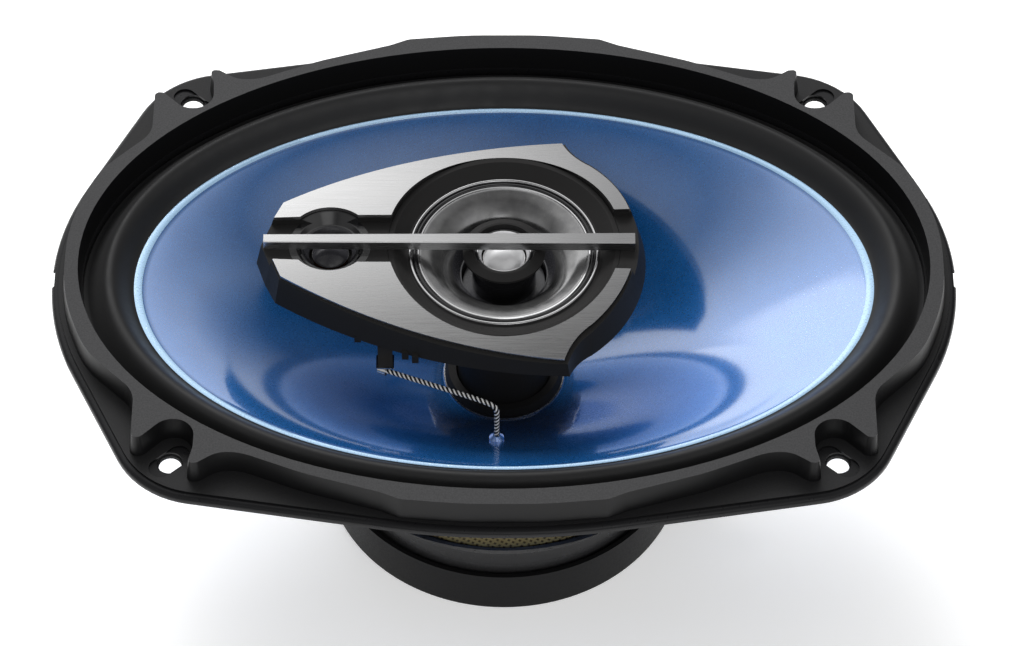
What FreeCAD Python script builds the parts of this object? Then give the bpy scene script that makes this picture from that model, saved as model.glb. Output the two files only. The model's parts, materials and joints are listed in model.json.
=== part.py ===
"""Oval coaxial car speaker, 6 x 9 inch size, three-way.

Frame: millimetres, +Z up and out of the mounting panel, +X along the long axis.
Z = 0 is the plane of the panel that the speaker is screwed to.
"""
import FreeCAD, Part
import math
import os

V = FreeCAD.Vector
UP = V(0, 0, 1)

# ---------------------------------------------------------------- driving sizes
GASKET_THICK = 1.0
FLANGE_TOP = 2.0
SHEET = 1.0
LIP_R = 1.4
TRIM_INSET = 1.9
TRIM_FLOOR_TOP = 2.6
TRIM_TOP = 9.5
TRIM_DRAFT = 0.8
HOLE_X = 84.5
HOLE_Y = 61.25
SCREW_HOLE_R = 2.9
FLANGE_HOLE_R = 3.3
SLOT_ANGLE = 42
END_NOTCH_X = 118.5
END_NOTCH_DEPTH = 0.7
END_NOTCH_HALF = 3.0

BORE_A = 111.1
BORE_B = 75.1
WALL_STEP = 0.6
LEDGE_TOP = -0.95
LEDGE_WIDTH = 2.9

CONE_A = 97.1
CONE_B = 61.65
CONE_EDGE_Z = -0.25
CONE_NECK_R = 16.2
CONE_NECK_Z = -38.0
CONE_CURVE = 1.35
CONE_THICK = 0.8
ROLL_HEIGHT = 5.6
ROLL_SHAPE = 1.5

WINDOW_TOP_Z = -7.0
WINDOW_LOW_Z = -46.5
WINDOW_CORNER = 6.0
SIDE_WINDOW = (50, 25)
END_WINDOW = (36, 24)

SHELF_Z = -50.4
SHELF_R = 51.5
CUP_R = 46.5
PLATE_TOP = -57.4
PLATE_THICK = 4.0
MAGNET_THICK = 12.0
BACK_THICK = 4.2
BOOT_R = 48.9
BOOT_BACK = -78.8
BOOT_RIM = -64.5
BOOT_WALL = 1.2
RIVET_CIRCLE_R = 33.0
RIVET_ANGLES = (45, 135, 225, 315)

POST_R = 12.4
COIL_IN_R = 15.7
FORMER_WALL = 0.4
COIL_WALL = 0.8

CROWN_TOP = 17.95
CROWN_R = 150.0
FACE_THICK = 1.0
POD_BOTTOM = 7.75
CHANNEL_FLOOR = 14.95
MID_CUT_R = 30.4
SMALL_X = -45.2
SMALL_CUT_R = 10.75

TAB_X = -30.6
TAB_Y = -31.0
LEAD_D = 1.4
LEAD_ROUTE = [
    (-30.6, -31.0, 1.7),
    (-19.4, -36.1, 2.5),
    (-9.4, -40.4, 2.9),
    (-5.2, -42.1, 2.8),
    (-1.9, -43.5, 2.2),
    (-1.8, -43.9, -1.9),
    (-1.9, -44.0, -8.6),
]


# ---------------------------------------------------------------- basic shapes
def disc(radius, low, high, x=0.0, y=0.0):
    return Part.makeCylinder(radius, high - low, V(x, y, low))


def ring(inner, outer, low, high, x=0.0, y=0.0):
    return disc(outer, low, high, x, y).cut(disc(inner, low - 1, high + 1, x, y))


def block(low, high):
    size = [high[i] - low[i] for i in range(3)]
    return Part.makeBox(size[0], size[1], size[2], V(*low))


def turned(profile, x=0.0, y=0.0):
    """A solid of revolution about a vertical axis from a closed (radius, height) outline."""
    points = [V(x + r, y, z) for r, z in profile]
    wire = Part.makePolygon(points + [points[0]])
    return Part.Face(wire).revolve(V(x, y, 0), UP, 360)


def rounded_outline(corners, z):
    """A closed wire of straight lines and tangent arcs. Each corner is (x, y, radius)."""
    count = len(corners)
    edges = []
    last_end = None
    first_start = None
    for i in range(count):
        here = V(corners[i][0], corners[i][1], z)
        before = V(corners[i - 1][0], corners[i - 1][1], z)
        after = V(corners[(i + 1) % count][0], corners[(i + 1) % count][1], z)
        back = (before - here).normalize()
        ahead = (after - here).normalize()
        half = back.getAngle(ahead) / 2
        reach = corners[i][2] / math.tan(half)
        start = here + back * reach
        end = here + ahead * reach
        middle_way = (back + ahead).normalize()
        centre = here + middle_way * (corners[i][2] / math.sin(half))
        middle = centre - middle_way * corners[i][2]
        if last_end is not None and (start - last_end).Length > 1e-6:
            edges.append(Part.LineSegment(last_end, start).toShape())
        if first_start is None:
            first_start = start
        edges.append(Part.Arc(start, middle, end).toShape())
        last_end = end
    if (first_start - last_end).Length > 1e-6:
        edges.append(Part.LineSegment(last_end, first_start).toShape())
    return Part.Wire(edges)


def four_ways(quadrant):
    """Corners of one quadrant, from the +X axis round to the +Y axis, repeated in all four."""
    flipped = list(reversed(quadrant))
    corners = list(quadrant)
    corners += [(-x, y, r) for x, y, r in flipped]
    corners += [(-x, -y, r) for x, y, r in quadrant]
    corners += [(x, -y, r) for x, y, r in flipped]
    return corners


def grown(corners, distance):
    """The same counter-clockwise outline moved outward all round."""
    count = len(corners)
    moved = []
    for i in range(count):
        x, y, radius = corners[i]
        following = corners[(i + 1) % count]
        back = V(x - corners[i - 1][0], y - corners[i - 1][1], 0).normalize()
        ahead = V(following[0] - x, following[1] - y, 0).normalize()
        out = V(back.y + ahead.y, -back.x - ahead.x, 0)
        out = out * (distance / (1 + back.dot(ahead)))
        turn = back.x * ahead.y - back.y * ahead.x
        moved.append((x + out.x, y + out.y, radius + math.copysign(distance, turn)))
    return moved


def prism(wire, height):
    return Part.Face(wire).extrude(V(0, 0, height))


def oval(a, b, z):
    """An ellipse as a wire; a is its half length along X and b along Y."""
    if abs(a - b) < 1e-9:
        return Part.Wire(Part.Circle(V(0, 0, z), UP, a).toShape())
    return Part.Wire(Part.Ellipse(V(a, 0, z), V(0, b, z), V(0, 0, z)).toShape())


def oval_prism(a, b, low, high):
    return prism(oval(a, b, low), high - low)


def oval_shell(top, under, smooth):
    """A closed wall between two stacks of ellipses, each given as (a, b, z) from inside out."""
    top_wires = [oval(*section) for section in top]
    under_wires = [oval(*section) for section in under]
    faces = list(Part.makeLoft(top_wires, False, not smooth).Faces)
    faces += Part.makeLoft(under_wires, False, not smooth).Faces
    faces += Part.makeLoft([top_wires[0], under_wires[0]], False, True).Faces
    faces += Part.makeLoft([top_wires[-1], under_wires[-1]], False, True).Faces
    shell = Part.makeShell(faces)
    shell.sewShape()
    solid = Part.makeSolid(shell)
    if solid.Volume < 0:
        solid.reverse()
    return solid


def join(*pieces):
    whole = pieces[0]
    for piece in pieces[1:]:
        whole = whole.fuse(piece)
    return whole.removeSplitter()


def corner_places():
    return [(x, y) for x in (-HOLE_X, HOLE_X) for y in (-HOLE_Y, HOLE_Y)]


# ---------------------------------------------------------------- frame of the speaker
# rounded ends, straight shoulders, blunt corners and long slightly bowed sides
FLANGE_QUADRANT = [(118.5, 16.7, 72), (92.45, 70.6, 25), (15.0, 83.4, 175)]


def flange_plate(inset, low, high):
    wire = rounded_outline(four_ways(FLANGE_QUADRANT), low)
    if inset > 0:
        wire = wire.makeOffset2D(-inset)
    return prism(wire, high - low)


def window_cutter(half_widths, turn):
    """A tapered hole with round corners through one side of the basket."""
    top, low = half_widths
    corners = [
        (-top, WINDOW_TOP_Z, WINDOW_CORNER),
        (top, WINDOW_TOP_Z, WINDOW_CORNER),
        (low, WINDOW_LOW_Z, WINDOW_CORNER),
        (-low, WINDOW_LOW_Z, WINDOW_CORNER),
    ]
    outline = rounded_outline(corners, 0)
    outline.rotate(V(0, 0, 0), V(1, 0, 0), 90)
    cutter = Part.Face(outline).extrude(V(0, 90, 0))
    cutter.translate(V(0, 30, 0))
    cutter.rotate(V(0, 0, 0), UP, turn)
    return cutter


def make_basket():
    inner_a = BORE_A - WALL_STEP
    inner_b = BORE_B - WALL_STEP
    outer_a = inner_a + 1.0
    outer_b = inner_b + 1.0
    flange = flange_plate(0, 0, FLANGE_TOP)
    flange = flange.makeFillet(LIP_R, [e for e in flange.Edges if e.BoundBox.ZMin > FLANGE_TOP - 0.01])
    flange = flange.cut(flange_plate(SHEET, -1, FLANGE_TOP - SHEET))
    flange = flange.cut(oval_prism(outer_a, outer_b, -1, FLANGE_TOP + 1))
    for x in (-END_NOTCH_X, END_NOTCH_X):
        notch_low = (x - END_NOTCH_DEPTH, -END_NOTCH_HALF, -1)
        notch_high = (x + END_NOTCH_DEPTH, END_NOTCH_HALF, FLANGE_TOP + 1)
        flange = flange.cut(block(notch_low, notch_high))
    for x, y in corner_places():
        flange = flange.cut(disc(FLANGE_HOLE_R, -1, FLANGE_TOP + 1, x, y))
    ledge_low = LEDGE_TOP - SHEET
    wall = oval_prism(outer_a, outer_b, ledge_low, FLANGE_TOP)
    wall = wall.cut(oval_prism(inner_a, inner_b, LEDGE_TOP, FLANGE_TOP + 1))
    mouth_a = inner_a - LEDGE_WIDTH
    mouth_b = inner_b - LEDGE_WIDTH
    wall = wall.cut(oval_prism(mouth_a, mouth_b, ledge_low - 1, FLANGE_TOP + 1))
    outer_side = Part.makeLoft(
        [oval(mouth_a + SHEET, mouth_b + SHEET, ledge_low), oval(SHELF_R, SHELF_R, SHELF_Z)],
        True, True)
    inner_side = Part.makeLoft(
        [oval(mouth_a, mouth_b, ledge_low), oval(SHELF_R - SHEET, SHELF_R - SHEET, SHELF_Z)],
        True, True)
    side = outer_side.cut(inner_side)
    for quarter in range(4):
        side = side.cut(window_cutter(END_WINDOW if quarter % 2 else SIDE_WINDOW, 90 * quarter))
    shelf = ring(CUP_R - SHEET, SHELF_R, SHELF_Z - SHEET, SHELF_Z)
    cup = ring(CUP_R - SHEET, CUP_R, PLATE_TOP, SHELF_Z - SHEET)
    bottom = ring(21.0, CUP_R, PLATE_TOP, PLATE_TOP + SHEET)
    basket = join(flange, wall, side, shelf, cup, bottom)
    for x, y in rivet_places():
        basket = basket.cut(disc(2.0, PLATE_TOP - 1, PLATE_TOP + SHEET + 1, x, y))
    return basket


def rivet_places():
    turns = [math.radians(angle) for angle in RIVET_ANGLES]
    return [(RIVET_CIRCLE_R * math.cos(turn), RIVET_CIRCLE_R * math.sin(turn)) for turn in turns]


def make_basket_rivets():
    rivets = []
    for x, y in rivet_places():
        head = disc(3.4, PLATE_TOP + SHEET, PLATE_TOP + SHEET + 1.3, x, y)
        head = head.makeFillet(0.8, [e for e in head.Edges if e.BoundBox.ZMin > PLATE_TOP + SHEET + 1.2])
        rivets.append(head.fuse(disc(1.9, PLATE_TOP - PLATE_THICK + 0.2, PLATE_TOP + SHEET + 0.2, x, y)))
    return Part.makeCompound(rivets)


def make_mounting_gasket():
    gasket = flange_plate(SHEET + 0.3, 0, GASKET_THICK)
    gasket = gasket.cut(oval_prism(BORE_A + 1.0, BORE_B + 1.0, -1, GASKET_THICK + 1))
    for x, y in corner_places():
        gasket = gasket.cut(disc(SCREW_HOLE_R, -1, GASKET_THICK + 1, x, y))
    return gasket


TRIM_QUADRANT = [
    (114.5, 12.2, 55), (107.5, 30.6, 26), (94.15, 43.95, 8),
    (94.1, 59.0, 1.3), (91.7, 58.6, 0.9), (86.1, 53.0, 5.5), (78.1, 53.0, 5.2),
    (78.3, 62.0, 6), (79.5, 67.0, 1.0), (77.0, 66.8, 1.2),
    (72.2, 63.5, 8), (66.5, 63.5, 15), (50.0, 70.3, 60),
    (31.0, 76.1, 4), (26.0, 78.3, 5), (10.0, 79.8, 100),
]


def make_trim_ring():
    top = rounded_outline(four_ways(TRIM_QUADRANT), TRIM_TOP)
    foot = rounded_outline(grown(four_ways(TRIM_QUADRANT), TRIM_DRAFT), FLANGE_TOP)
    body = Part.makeLoft([foot, top], True, True)
    trim = flange_plate(TRIM_INSET, FLANGE_TOP, TRIM_FLOOR_TOP).fuse(body)
    bore = Part.makeLoft(
        [oval(BORE_A - 0.5, BORE_B - 0.5, FLANGE_TOP), oval(BORE_A, BORE_B, TRIM_TOP)], True, True)
    trim = trim.cut(bore)
    for x, y in corner_places():
        slot = slot_prism(x, y, SCREW_HOLE_R + 0.1, 3.0, FLANGE_TOP - 1, TRIM_TOP + 1)
        trim = trim.cut(slot)
    return trim


def slot_prism(x, y, radius, half_length, low, high):
    """A vertical slot through a corner, running outward on the diagonal."""
    angle = math.radians(SLOT_ANGLE)
    way = V(math.copysign(math.cos(angle), x), math.copysign(math.sin(angle), y), 0)
    across = V(-way.y, way.x, 0)
    centre = V(x, y, low)
    inner = centre - way * half_length
    outer = centre + way * half_length
    edges = [
        Part.LineSegment(inner + across * radius, outer + across * radius).toShape(),
        Part.Arc(outer + across * radius, outer + way * radius, outer - across * radius).toShape(),
        Part.LineSegment(outer - across * radius, inner - across * radius).toShape(),
        Part.Arc(inner - across * radius, inner - way * radius, inner + across * radius).toShape(),
    ]
    return prism(Part.Wire(edges), high - low)


# ---------------------------------------------------------------- woofer motor
def make_top_plate():
    low = PLATE_TOP - PLATE_THICK
    plate = ring(17.5, 47.0, low, PLATE_TOP)
    for x, y in rivet_places():
        plate = plate.cut(disc(1.9, low + 0.2, PLATE_TOP + 1, x, y))
    return plate


def make_magnet():
    high = PLATE_TOP - PLATE_THICK
    return ring(21.5, 46.0, high - MAGNET_THICK, high)


def make_yoke():
    high = PLATE_TOP - PLATE_THICK - MAGNET_THICK
    plate = disc(44.5, high - BACK_THICK, high)
    pole = disc(15.1, high - 1, PLATE_TOP)
    return join(plate, pole).cut(disc(2.6, high - BACK_THICK - 1, PLATE_TOP + 1))


def make_magnet_boot():
    boot = disc(BOOT_R, BOOT_BACK, BOOT_RIM)
    back_edges = [e for e in boot.Edges if e.BoundBox.ZMax < BOOT_BACK + 0.01]
    boot = boot.makeFillet(1.0, back_edges)
    inside = disc(BOOT_R - BOOT_WALL, BOOT_BACK + BOOT_WALL, BOOT_RIM + 1)
    return boot.cut(inside)


def make_post():
    post = disc(POST_R, PLATE_TOP, -10.6)
    return post.cut(disc(2.6, PLATE_TOP - 1, -9))


def make_post_screw():
    high = -9.4
    back = PLATE_TOP - PLATE_THICK - MAGNET_THICK - BACK_THICK
    shaft = disc(2.5, back, high)
    return shaft.cut(block((-1.4, -0.35, high - 1.0), (1.4, 0.35, high + 1)))


# ---------------------------------------------------------------- woofer's moving parts
def cone_section(t, drop=0.0):
    """One ellipse of the cone; t runs from 0 at the neck to 1 at the edge."""
    a = CONE_NECK_R + (CONE_A - CONE_NECK_R) * t
    b = CONE_NECK_R + (CONE_B - CONE_NECK_R) * t
    rise = 1 - (1 - t) ** CONE_CURVE
    return a, b, CONE_NECK_Z + (CONE_EDGE_Z - CONE_NECK_Z) * rise - drop


def make_cone():
    steps = [0, 0.08, 0.2, 0.35, 0.5, 0.65, 0.8, 0.92, 1]
    top = [cone_section(t) for t in steps]
    under = [cone_section(t, CONE_THICK) for t in steps]
    return oval_shell(top, under, True)


def make_surround():
    """Rounded roll between the cone's edge and the ledge, with a flat glued land outside it."""
    outer_a = BORE_A - WALL_STEP - 0.3
    outer_b = BORE_B - WALL_STEP - 0.3
    land_a = outer_a - 1.7
    land_b = outer_b - 1.7
    foot = CONE_EDGE_Z
    inner_a = CONE_A + 0.4
    inner_b = CONE_B + 0.4
    top = []
    under = []
    count = 10
    for i in range(count + 1):
        part = i / count
        lift = math.sin(math.pi * part) ** ROLL_SHAPE
        a = inner_a + (land_a - inner_a) * part
        b = inner_b + (land_b - inner_b) * part
        top.append((a, b, foot + ROLL_HEIGHT * lift))
        under.append((a, b, foot - 0.65 + (ROLL_HEIGHT - 0.1) * lift))
    top.append((outer_a, outer_b, foot))
    under.append((outer_a, outer_b, foot - 0.65))
    return oval_shell(top, under, False)


def make_spider():
    former_r = COIL_IN_R + FORMER_WALL
    flat = ring(former_r, 45.4, SHELF_Z + 0.1, SHELF_Z + 0.9)
    rim = ring(45.0, SHELF_R - SHEET - 0.6, SHELF_Z, SHELF_Z + 0.9)
    return join(flat, rim)


def make_former():
    return ring(COIL_IN_R, COIL_IN_R + FORMER_WALL, -65.5, CONE_NECK_Z + 0.3)


def make_coil():
    inner = COIL_IN_R + FORMER_WALL
    return ring(inner, inner + COIL_WALL, -64.0, -54.8)


def make_neck_ring():
    return turned([(12.9, -36.4), (CONE_NECK_R - 0.3, -37.6), (CONE_NECK_R - 0.3, -37.0),
                   (15.0, -35.2), (12.9, -35.2)])


# ---------------------------------------------------------------- pod that holds the small drivers
def pod_outline(grown, z):
    """Arrow-like outline. grown is 0 at the face and 1 at the flared lower edge."""
    def mix(near, far):
        return V(near[0] + (far[0] - near[0]) * grown, near[1] + (far[1] - near[1]) * grown, z)

    def side(sign):
        tip = mix((-62.4, 0), (-64.6, 0))
        nose = mix((-59.8, 7.1), (-62.2, 7.4))
        cheek = mix((-57.6, 12.5), (-59.3, 13.6))
        brow = mix((-22.5, 29.2), (-23.5, 31.2))
        horn = mix((15.4, 36.8), (16.8, 37.9))
        notch = mix((17.6, 32.2), (18.9, 34.2))
        heel = mix((22.5, 26.95), (22.4, 31.1))
        radius = 37.1 + 2.9 * grown
        turn = math.atan2(heel.y, heel.x + 3) / 2
        back = V(-3 + radius * math.cos(turn), radius * math.sin(turn), z)
        tail = V(-3 + radius, 0, z)
        points = [V(p.x, sign * p.y, z) for p in (tip, nose, cheek, brow, horn, notch, heel, back, tail)]
        return [
            Part.LineSegment(points[0], points[1]).toShape(),
            Part.LineSegment(points[1], points[2]).toShape(),
            Part.Arc(points[2], points[3], points[4]).toShape(),
            Part.Arc(points[4], points[5], points[6]).toShape(),
            Part.Arc(points[6], points[7], points[8]).toShape(),
        ]

    return Part.Wire(Part.__sortEdges__(side(1) + side(-1)))


def crown(radius):
    """The long horizontal cylinder that the pod's face is part of."""
    low = CROWN_TOP - CROWN_R
    return Part.makeCylinder(radius, 160, V(-90, 0, low), V(1, 0, 0))


def channel(low):
    """The trough along the pod, a little wider towards its tail."""
    half = [(-70, 6.6), (-37, 8.0), (-29, 8.0), (45, 10.6)]
    corners = half + [(x, -y) for x, y in reversed(half)]
    points = [V(x, y, low) for x, y in corners]
    return prism(Part.makePolygon(points + [points[0]]), 10)


def make_face_plates():
    plate = prism(pod_outline(0, 8), 12)
    plate = plate.common(crown(CROWN_R).cut(crown(CROWN_R - FACE_THICK)))
    plate = plate.cut(channel(8))
    plate = plate.cut(disc(MID_CUT_R, 5, 20))
    plate = plate.cut(disc(SMALL_CUT_R, 5, 20, SMALL_X))
    return plate


def face_half(plates, sign):
    half = block((-80, 0, 5), (50, 60, 25))
    if sign < 0:
        half.translate(V(0, -60, 0))
    return plates.common(half)


def make_pod_housing():
    outer = Part.makeLoft([pod_outline(1, POD_BOTTOM), pod_outline(0, CROWN_TOP + 0.5)], True, True)
    outer = outer.common(crown(CROWN_R - FACE_THICK))
    hollow = prism(pod_outline(1, POD_BOTTOM - 1).makeOffset2D(-3.0), 4.0)
    housing = outer.cut(hollow)
    housing = housing.cut(channel(CHANNEL_FLOOR))
    floor = disc(MID_CUT_R + 1.4, POD_BOTTOM, 11.2).common(outer)
    housing = housing.fuse(floor)
    well_top = POD_BOTTOM + 0.5
    well = turned([(0, -10.6), (21.0, -10.6), (21.0, 0), (26.4, well_top), (0, well_top)])
    housing = housing.fuse(well)
    bore = turned([(0, -9.4), (19.6, -9.4), (19.6, 0), (25.2, 9.2), (25.2, 20), (0, 20)])
    housing = housing.cut(bore)
    housing = housing.cut(disc(MID_CUT_R - 0.1, POD_BOTTOM + 1.1, 25))
    housing = housing.cut(disc(SMALL_CUT_R, POD_BOTTOM + 0.6, 25, SMALL_X))
    cup = ring(SMALL_CUT_R, SMALL_CUT_R + 1.2, POD_BOTTOM, 11.2, SMALL_X).common(outer)
    cup_floor = disc(SMALL_CUT_R + 1.2, POD_BOTTOM, POD_BOTTOM + 0.6, SMALL_X).common(outer)
    housing = housing.fuse(cup).fuse(cup_floor)
    housing = housing.cut(disc(2.6, -12, -8))
    for x in (-38.5, -26.2, -23.6):
        comb = block((x, 0, POD_BOTTOM - 1.5), (x + 1.7, 1.8, POD_BOTTOM + 1.0))
        slope = 24.9 + (x + 38.5) * 0.46
        comb.translate(V(0, -slope - 0.6, 0))
        housing = housing.fuse(comb)
    return housing.removeSplitter()


def make_centre_bar():
    left, right = -62.4, 34.0
    points = [V(left, -1.35, CHANNEL_FLOOR), V(right, -1.8, CHANNEL_FLOOR),
              V(right, 1.8, CHANNEL_FLOOR), V(left, 1.35, CHANNEL_FLOOR)]
    bar = prism(Part.makePolygon(points + [points[0]]), CROWN_TOP - CHANNEL_FLOOR)
    long_edges = [e for e in bar.Edges if e.BoundBox.ZMin > CROWN_TOP - 0.01 and e.Length > 50]
    return bar.makeChamfer(0.25, long_edges)


# ---------------------------------------------------------------- midrange driver
def make_midrange_frame():
    return turned([
        (MID_CUT_R - 0.2, 9.0), (MID_CUT_R - 0.2, 14.9), (28.9, 14.8), (25.4, 12.2), (24.9, 12.2),
        (24.9, 11.2), (23.4, 11.2), (22.9, 10.4), (19.2, 1.2), (13.0, 1.2), (13.0, 0.0), (19.5, 0.0),
        (24.6, 9.0),
    ])


def make_midrange_rim():
    return turned([(24.0, 11.2), (24.9, 11.2), (24.9, 12.6), (24.5, 12.9), (24.1, 12.6)])


def make_midrange_surround():
    return turned([(22.6, 11.6), (23.0, 12.3), (23.6, 12.3), (23.95, 11.6), (23.95, 11.2), (22.6, 11.2)])


def make_midrange_cone():
    top = []
    count = 8
    for i in range(count + 1):
        t = i / count
        top.append((11.6 + 10.7 * t, 3.6 + 8.4 * (1 - (1 - t) ** 1.7)))
    under = [(r, z - 0.5) for r, z in reversed(top)]
    return turned(top + under)


def make_midrange_former():
    return ring(11.2, 11.5, -3.4, 3.5)


def make_midrange_coil():
    return ring(11.5, 12.0, -3.2, 0.4)


def make_midrange_plate():
    return ring(12.5, 19.0, -2.6, 0.0)


def make_midrange_magnet():
    return ring(13.8, 18.4, -7.0, -2.6)


def make_midrange_yoke():
    return join(disc(19.0, -9.4, -7.0), disc(10.7, -7.5, 0.6))


# ---------------------------------------------------------------- tweeter at the pod's centre
def make_tweeter_cup():
    return disc(8.4, 0.6, 12.75).cut(disc(7.0, 2.6, 13))


def make_tweeter_bezel():
    return turned([
        (8.4, 12.2), (10.75, 12.2), (10.75, 12.85), (8.7, 13.85), (8.1, 13.85), (7.6, 12.75),
        (8.4, 12.75),
    ])


def make_tweeter_dish():
    """Bright flared dish that surrounds the dome."""
    return turned([(7.0, 12.6), (6.7, 12.6), (6.6, 12.0), (5.9, 10.6), (5.9, 9.9), (7.0, 9.9)])


def dome(radius, rise, wall, base, x=0.0):
    """A thin spherical cap that stands on a flat base."""
    sphere_r = (radius * radius + rise * rise) / (2 * rise)
    centre = V(x, 0, base + rise - sphere_r)
    outer = Part.makeSphere(sphere_r, centre)
    inner = Part.makeSphere(sphere_r - wall, centre)
    cap = outer.cut(inner)
    return cap.common(disc(radius, base, base + rise + 1, x))


def make_tweeter_dome():
    return dome(5.5, 2.6, 0.25, 10.0)


def make_tweeter_coil():
    return ring(5.0, 5.4, 7.4, 9.98)


def make_tweeter_magnet():
    return disc(4.5, 2.6, 8.9)


# ---------------------------------------------------------------- small tweeter in the nose
def make_small_bezel():
    profile = [(10.7, 13.2), (10.7, 16.4), (10.2, 16.4), (7.9, 13.95), (7.5, 13.95), (7.5, 13.2)]
    bowl = turned(profile, SMALL_X)
    return bowl.cut(channel(CHANNEL_FLOOR))


def make_small_dish():
    return turned([(7.5, 13.9), (7.1, 13.6), (5.6, 11.4), (5.6, 10.6), (7.5, 10.6)], SMALL_X)


def make_small_cup():
    floor = POD_BOTTOM + 0.6
    cup = disc(9.6, floor, 13.2, SMALL_X)
    return cup.cut(disc(7.5, floor + 0.8, 14, SMALL_X))


def make_small_dome():
    return dome(4.7, 1.9, 0.25, 11.5, SMALL_X)


def make_small_coil():
    return ring(4.2, 4.6, 9.9, 11.48, SMALL_X)


def make_small_magnet():
    return disc(3.8, POD_BOTTOM + 1.4, 10.9, SMALL_X)


# ---------------------------------------------------------------- electrical parts
def make_capacitors():
    """Two small film capacitors lying under the face, between the two openings."""
    cans = []
    for y in (-15.5, 15.5):
        can = Part.makeCylinder(1.55, 9.0, V(-41.0, y, 9.15), V(1, 0, 0))
        cans.append(can)
    return Part.makeCompound(cans)


def make_lead_tab():
    """Dark tab that hangs from the pod's lower edge and carries the lead's clip."""
    stem = block((TAB_X - 1.9, TAB_Y + 2.6, 3.3), (TAB_X + 1.9, TAB_Y + 3.8, POD_BOTTOM))
    head = block((TAB_X - 1.9, TAB_Y + 2.6, POD_BOTTOM - 1.2), (TAB_X + 1.9, TAB_Y + 8.0, POD_BOTTOM))
    return join(stem, head)


def make_lead_clip():
    """Folded metal clip on the tab, with a crimped barrel round the lead."""
    top = block((TAB_X - 2.3, TAB_Y - 0.6, 2.9), (TAB_X + 2.3, TAB_Y + 3.8, 3.3))
    barrel = Part.makeCylinder(1.25, 2.2, V(TAB_X - 1.6, TAB_Y + 0.6, 1.65), V(0.91, -0.41, 0.05))
    barrel = barrel.fuse(block((TAB_X - 1.2, TAB_Y - 0.4, 1.7), (TAB_X + 0.4, TAB_Y + 0.8, 3.0)))
    return join(top, barrel)


def rounded_tube(route, diameter):
    """A round cord along straight runs joined by tangent arcs."""
    points = [V(*p) for p in route]
    edges = []
    last = points[0]
    for i in range(1, len(points) - 1):
        back = points[i - 1] - points[i]
        ahead = points[i + 1] - points[i]
        shorter = min(back.Length, ahead.Length)
        half_turn = (math.pi - back.getAngle(ahead)) / 2
        reach = 0.45 * shorter
        radius = reach / math.tan(half_turn)
        back.normalize()
        ahead.normalize()
        start = points[i] + back * reach
        end = points[i] + ahead * reach
        towards = (back + ahead).normalize()
        middle = points[i] + towards * (radius / math.cos(half_turn) - radius)
        edges.append(Part.LineSegment(last, start).toShape())
        edges.append(Part.Arc(start, middle, end).toShape())
        last = end
    edges.append(Part.LineSegment(last, points[-1]).toShape())
    path = Part.Wire(edges)
    first_way = (points[1] - points[0]).normalize()
    section = Part.Wire(Part.Circle(points[0], first_way, diameter / 2).toShape())
    return path.makePipeShell([section], True, False, 2)


def make_tinsel_lead():
    return rounded_tube(LEAD_ROUTE, LEAD_D)


def make_lead_eyelet(cone):
    """Glue dome and eyelet where the lead goes into the cone."""
    end = LEAD_ROUTE[-1]
    top = end[2]
    profile = [(0, top), (0.9, top), (1.9, top - 1.2), (2.1, top - 5.0), (0, top - 5.0)]
    drop = turned(profile, end[0], end[1])
    pieces = drop.cut(cone).Solids
    return max(pieces, key=lambda piece: piece.CenterOfMass.z)


def make_terminal_block():
    base = block((44, -14, PLATE_TOP + 0.1), (58, 14, SHELF_Z - SHEET - 0.2))
    base = base.cut(disc(CUP_R, PLATE_TOP - 5, SHELF_Z + 5))
    for y in (-7.0, 7.0):
        base = base.cut(block((52, y - 3.2, -55.3), (60, y + 3.2, -54.5)))
    return base


def make_terminal_tabs():
    wide = block((52, -7.0 - 3.15, -55.3), (67, -7.0 + 3.15, -54.5))
    narrow = block((52, 7.0 - 2.4, -55.3), (66, 7.0 + 2.4, -54.5))
    wide = wide.cut(disc(0.9, -56, -54, 63.5, -7.0))
    narrow = narrow.cut(disc(0.7, -56, -54, 62.5, 7.0))
    return Part.makeCompound([wide, narrow])


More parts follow.
